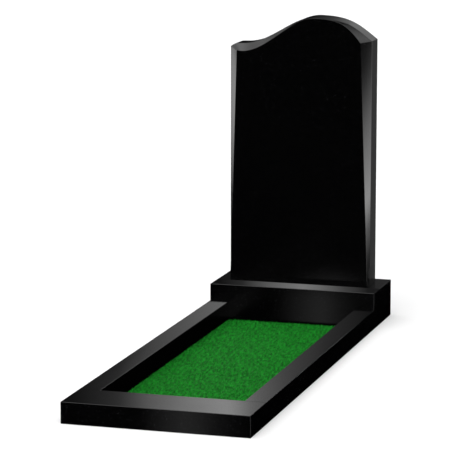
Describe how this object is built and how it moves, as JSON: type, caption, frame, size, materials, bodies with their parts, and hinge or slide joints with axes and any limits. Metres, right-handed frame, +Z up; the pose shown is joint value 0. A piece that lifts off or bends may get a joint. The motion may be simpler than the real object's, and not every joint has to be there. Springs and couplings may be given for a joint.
{
  "type": "headstone with kerb set",
  "caption": "Polished black granite headstone with a wave-shaped top and carved bevel, on a plinth with granite kerbs around a bed of short turf.",
  "frame": {"origin": "on the ground, at the middle of the whole footprint of plinth and kerbs", "axes": "+Z up; the face of the headstone looks along -Y, over the bed, and the plinth is at +Y; +X is to the right of a visitor who stands at the foot of the bed"},
  "size_m": [0.7, 2.1, 1.26],
  "materials": {
    "black_granite": "mirror-polished black granite on every face, with fine arrised edges",
    "green_turf": "short dense pile of artificial grass, matt"
  },
  "bodies": {
    "root": {"plinth": "black_granite", "headstone": "black_granite", "kerb_left": "black_granite", "kerb_right": "black_granite", "kerb_front": "black_granite", "turf": "green_turf"}
  },
  "joints": []
}
